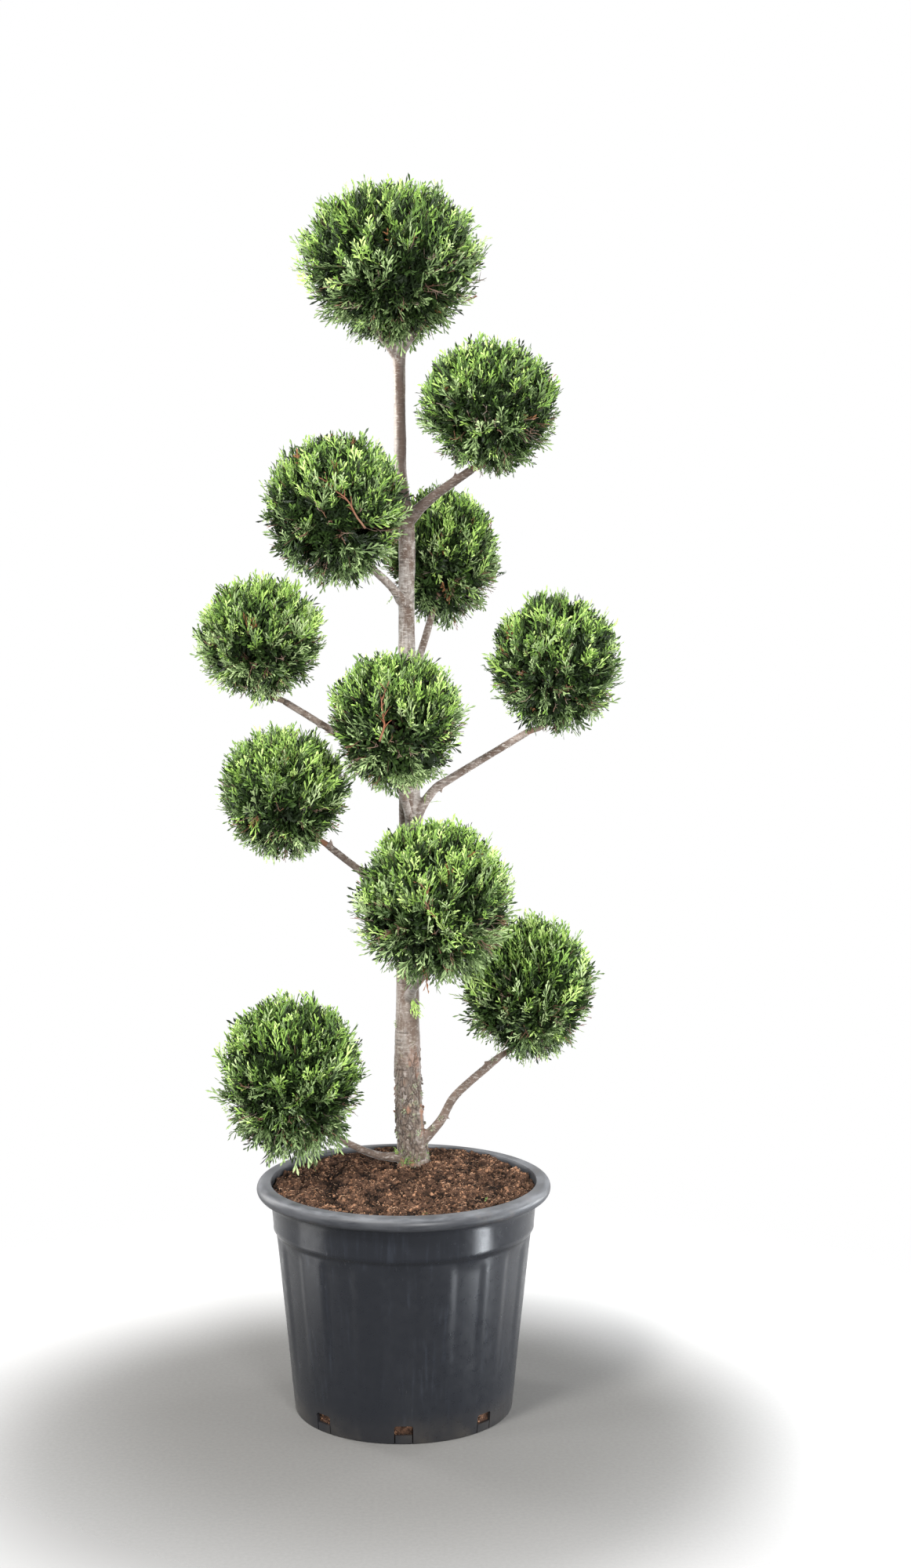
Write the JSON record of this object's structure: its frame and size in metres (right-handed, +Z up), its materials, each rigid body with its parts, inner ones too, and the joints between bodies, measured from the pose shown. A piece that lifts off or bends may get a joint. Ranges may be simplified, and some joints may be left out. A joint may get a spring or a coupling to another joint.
{
  "type": "potted leyland cypress pom-pom tree",
  "caption": "Leyland cypress trained as a pom-pom tree: a slim trunk and boughs carry round clipped balls of foliage above a round ribbed nursery pot filled with growing medium.",
  "frame": {"origin": "middle of the pot's flat underside", "axes": "+Z up along the pot's axis, -Y towards the front, +X to the right seen from the front"},
  "size_m": [0.6445, 0.462, 1.8321],
  "materials": {
    "pot_plastic": "dark grey-black moulded plastic, satin, scuffed lighter on the rim",
    "growing_medium": "loose brown peat and coir with paler fibres",
    "bark": "pale grey-brown bark, smooth above and flaky towards the foot",
    "foliage": "flat sprays of scale leaves, yellow-green at the tips and dark green inside"
  },
  "bodies": {
    "root": {"pot": "pot_plastic", "soil": "growing_medium", "trunk": "bark", "bough_02": "bark", "bough_03": "bark", "bough_04": "bark", "bough_05": "bark", "bough_06": "bark", "bough_07": "bark", "bough_08": "bark", "bough_09": "bark", "bough_10": "bark", "bough_11": "bark", "foliage_01": "foliage", "foliage_02": "foliage", "foliage_03": "foliage", "foliage_04": "foliage", "foliage_05": "foliage", "foliage_06": "foliage", "foliage_07": "foliage", "foliage_08": "foliage", "foliage_09": "foliage", "foliage_10": "foliage", "foliage_11": "foliage"}
  },
  "joints": []
}
